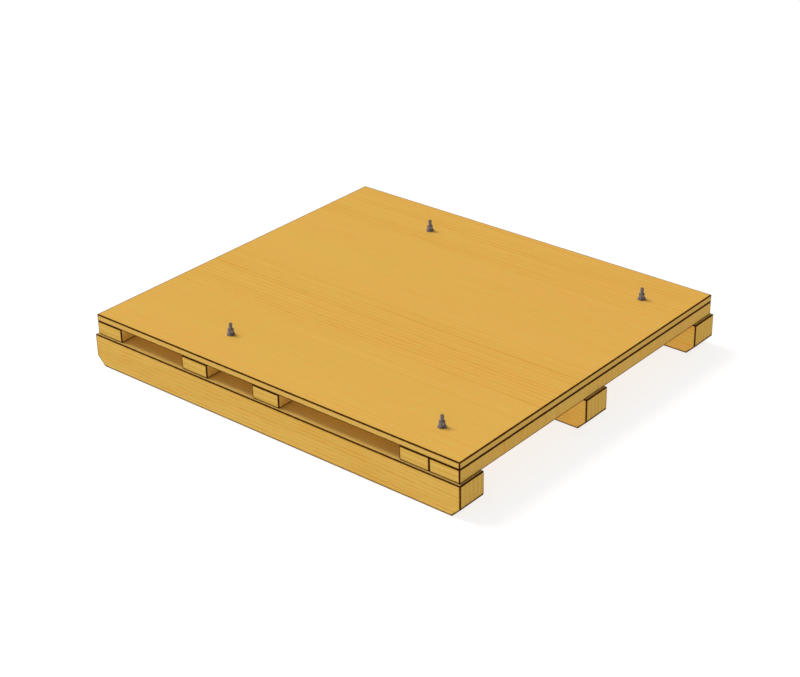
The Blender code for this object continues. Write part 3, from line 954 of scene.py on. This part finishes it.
def make_washers():
    low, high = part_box("flat_washer_1")
    outer = (high.x - low.x) / 2
    washer = flat_washer_mesh(BOLT_HOLE_RADIUS, outer, high.z - low.z)
    # The dark rim is oil and painted shade, which tones down the rim where the key light falls.
    dirt_and_shade = rim_oil_and_shade(outer, 0.0015, 0.78)
    steel = steel_material("washer_steel", WASHER_TONES, **OILED, dirt_and_shade=dirt_and_shade)
    place_copies(washer, "flat_washer", steel)

    # The slit is on +X, so the outer radius is read along Y.
    low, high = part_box("lock_washer_1")
    outer = (high.y - low.y) / 2
    washer = lock_washer_mesh(SPRING_BORE_RADIUS, outer, high.z - low.z)
    # The lock washer's dark rim, between the nut and the flat washer, is painted shade as well as oil.
    dirt_and_shade = rim_oil_and_shade(outer, 0.0009, 0.8)
    steel = steel_material("spring_steel", WASHER_TONES, **OILED, dirt_and_shade=dirt_and_shade)
    place_copies(washer, "lock_washer", steel)


def make_nuts(thread_start):
    """The four nuts, whose threads follow the bolts' from their start. Their flats face Y."""
    low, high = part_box("hex_nut_1")
    flats = high.y - low.y
    height = high.z - low.z
    thread_bottom = thread_start - low.z
    nut = nut_mesh(flats, height, thread_bottom, thread_bottom + THREAD_LENGTH)
    steel = steel_material("nut_steel", NUT_TONES, **OILED_NUT, dirt_and_shade=nut_oil_and_shade(flats, height))
    place_copies(nut, "hex_nut", steel)


def make_nails():
    """The nails keep their own shape and get bright wire."""
    wire = steel_material("nail_wire", NAIL_TONES, **BRIGHT_WIRE)
    for node in nodes_named("nail"):
        piece = frame["nodes"][node]
        piece.data.materials.clear()
        piece.data.materials.append(wire)


def make_all_steel():
    thread_start = make_bolts()
    make_washers()
    make_nuts(thread_start)
    make_nails()


# Studio


def make_floor():
    """A wide pale disc, a hair below the runners."""
    shape = bmesh.new()
    profile = [(0.0, FLOOR_BOTTOM), (FLOOR_RADIUS, FLOOR_BOTTOM)]
    profile += [(FLOOR_RADIUS, FLOOR_TOP), (0.0, FLOOR_TOP)]
    add_turned(shape, profile, FLOOR_SEGMENTS)
    floor = mesh_object("studio_floor", shape)
    floor.data.materials.append(floor_material())


def add_sun(name, direction, strength, spread):
    """A distant light that stands in the direction and looks spread degrees wide."""
    light = bpy.data.lights.new(name, "SUN")
    light.energy = strength
    light.angle = math.radians(spread)
    lamp = bpy.data.objects.new(name, light)
    lamp.rotation_euler = Vector(direction).to_track_quat("Z", "Y").to_euler()
    bpy.context.scene.collection.objects.link(lamp)


def make_world():
    """A white dome, brightest overhead and far brighter on the left than on the right."""
    world = bpy.data.worlds.new("studio")
    world.use_nodes = True
    nodes = world.node_tree.nodes
    links = world.node_tree.links
    place = nodes.new("ShaderNodeTexCoord")
    axes = nodes.new("ShaderNodeSeparateXYZ")
    height = nodes.new("ShaderNodeMapRange")
    height.inputs["To Min"].default_value = HORIZON_LIGHT
    height.inputs["To Max"].default_value = ZENITH_LIGHT
    side = nodes.new("ShaderNodeMath")
    side.operation = "MULTIPLY_ADD"
    side.inputs[1].default_value = -SIDE_SHARE
    side.inputs[2].default_value = 1.0
    both = nodes.new("ShaderNodeMath")
    both.operation = "MULTIPLY"
    links.new(place.outputs["Generated"], axes.inputs[0])
    links.new(axes.outputs["Z"], height.inputs["Value"])
    links.new(axes.outputs["X"], side.inputs[0])
    links.new(height.outputs["Result"], both.inputs[0])
    links.new(side.outputs[0], both.inputs[1])
    # Looked at directly, past the floor's far edge, the dome is plain white.
    path = nodes.new("ShaderNodeLightPath")
    seen = nodes.new("ShaderNodeMath")
    seen.operation = "MAXIMUM"
    links.new(both.outputs[0], seen.inputs[0])
    links.new(path.outputs["Is Camera Ray"], seen.inputs[1])
    links.new(seen.outputs[0], nodes["Background"].inputs["Strength"])
    nodes["Background"].inputs["Color"].default_value = (1.0, 1.0, 1.0, 1.0)
    bpy.context.scene.world = world


def make_lights():
    add_sun("key_from_left", KEY_DIRECTION, KEY_LIGHT, KEY_SPREAD)
    add_sun("fill_from_front", FILL_DIRECTION, FILL_LIGHT, FILL_SPREAD)
    make_world()


def make_camera():
    """The camera's own axes come from its heading, its dip below level and its roll."""
    flat = Vector((math.cos(CAMERA_HEADING), math.sin(CAMERA_HEADING), 0.0))
    forward = flat * math.cos(CAMERA_DIP) - Vector((0.0, 0.0, math.sin(CAMERA_DIP)))
    right = Vector((math.sin(CAMERA_HEADING), -math.cos(CAMERA_HEADING), 0.0))
    up = right.cross(forward)
    rolled_right = right * math.cos(CAMERA_ROLL) + up * math.sin(CAMERA_ROLL)
    rolled_up = up * math.cos(CAMERA_ROLL) - right * math.sin(CAMERA_ROLL)
    turn = Matrix((rolled_right, rolled_up, -forward)).transposed()
    lens = bpy.data.cameras.new("camera")
    lens.sensor_fit = "HORIZONTAL"
    lens.sensor_width = SENSOR_WIDTH
    lens.lens = CAMERA_LENS
    lens.clip_end = 100.0
    camera = bpy.data.objects.new("camera", lens)
    camera.matrix_world = Matrix.Translation(CAMERA_PLACE) @ turn.to_4x4()
    bpy.context.scene.collection.objects.link(camera)
    bpy.context.scene.camera = camera


bpy.context.scene.view_settings.view_transform = "Standard"
make_camera()
make_lights()
make_floor()
make_all_wood()
make_all_steel()
